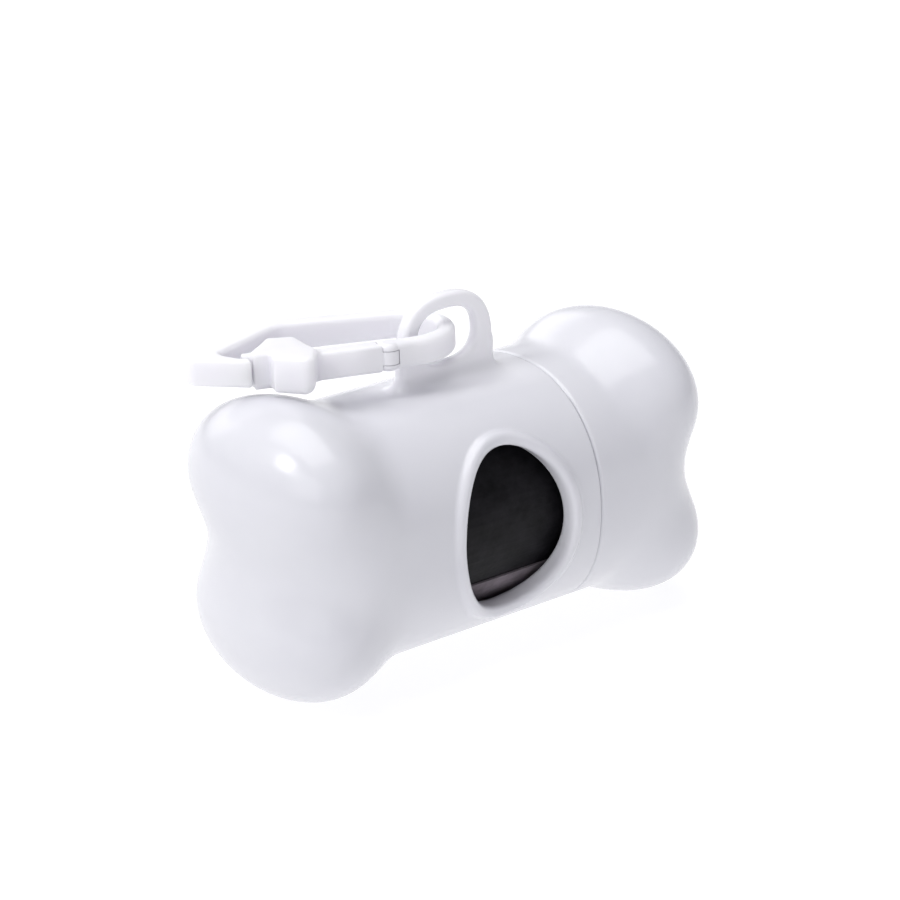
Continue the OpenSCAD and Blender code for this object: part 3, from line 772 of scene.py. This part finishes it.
dress(nodes["cap_collar"], SHELL)
dress(nodes["gate_pin"], CLIP)
dress(nodes["gate_spring"], steel("spring_steel"))
dress(nodes["roll_core"], card("core_card"))
dress(nodes["bag_roll"], rolled_film("film_black"))
dress(nodes["leading_bag"], loose_film("film_first"))


# ---- Camera, as the photograph's ----

# Degrees round the bone, above it and of roll; millimetres to the bone's middle; and
# the aim's shift to the right and up, in millimetres at the bone's middle
AZIMUTH, ELEVATION, ROLL = 37.58, 21.49, -1.75
DISTANCE = 427.34
AIM_RIGHT, AIM_UP = 0.07, 6.88
LENS, SENSOR, NEAREST = 114.69, 36.0, 0.01


def look():
    """The camera's place from the bone's middle, and its right, up and forward directions."""
    a, e, r = (math.radians(t) for t in (AZIMUTH, ELEVATION, ROLL))
    to_bone = np.array([math.sin(a) * math.cos(e), math.cos(a) * math.cos(e), -math.sin(e)])
    right = np.array([math.cos(a), -math.sin(a), 0.0])
    up = np.cross(right, to_bone)
    at = -to_bone * DISTANCE
    ahead = right * AIM_RIGHT + up * AIM_UP - at
    ahead /= np.linalg.norm(ahead)
    right = np.cross(ahead, (0, 0, 1))
    right /= np.linalg.norm(right)
    up = np.cross(right, ahead)
    cr, sr = math.cos(r), math.sin(r)
    return at, right * cr + up * sr, up * cr - right * sr, ahead


camera_data = bpy.data.cameras.new("camera")
camera = add_object("camera", camera_data)
at, right, up, ahead = look()
at = (at + np.array([0, 0, AXIS_Z])) * MM
rows = [[right[i], up[i], -ahead[i], at[i]] for i in range(3)] + [[0, 0, 0, 1]]
camera.matrix_world = Matrix(rows)
camera_data.sensor_width = SENSOR
camera_data.lens = LENS
camera_data.clip_start = NEAREST
bpy.context.scene.camera = camera


# ---- Floor and light ----

FLOOR_HALF = 4.0
AIM = (0, 0, 0.02)


def floor():
    """White floor that glows a little, so that it fills the view with an even white."""
    s = FLOOR_HALF
    mesh = bpy.data.meshes.new("floor")
    mesh.from_pydata([(-s, -s, 0), (s, -s, 0), (s, s, 0), (-s, s, 0)], [], [(0, 1, 2, 3)])
    mesh.materials.append(new_material("floor_pale", {
        "Base Color": (0.26, 0.26, 0.26, 1), "Roughness": 0.9, "Specular IOR Level": 0.1,
        "Emission Color": (0.985, 0.985, 1.0, 1), "Emission Strength": 0.84})[0])
    obj = add_object("floor", mesh)


def area_light(name, at, size, power):
    """Light panel of a width and height in metres, turned to the object."""
    data = bpy.data.lights.new(name, "AREA")
    data.shape = "RECTANGLE"
    data.size, data.size_y = size
    data.energy = power
    obj = add_object(name, data)
    obj.location = at
    obj.rotation_euler = (Vector(AIM) - Vector(at)).to_track_quat("-Z", "Y").to_euler()


floor()
area_light("top", at=(0.0, 0.1, 1.0), size=(0.9, 0.9), power=6.4)
area_light("left", at=(-0.8, -0.35, 0.5), size=(0.6, 0.6), power=1.5)
area_light("window", at=(-0.7, 0.1, 0.72), size=(0.2, 0.28), power=3.0)
area_light("back", at=(0.1, 0.95, 0.4), size=(0.9, 0.5), power=1.9)

world = bpy.data.worlds.new("studio")
world.use_nodes = True
world.node_tree.nodes["Background"].inputs["Color"].default_value = (0.95, 0.95, 1.0, 1)
world.node_tree.nodes["Background"].inputs["Strength"].default_value = 0.38
bpy.context.scene.world = world
bpy.context.scene.view_settings.view_transform = "Standard"
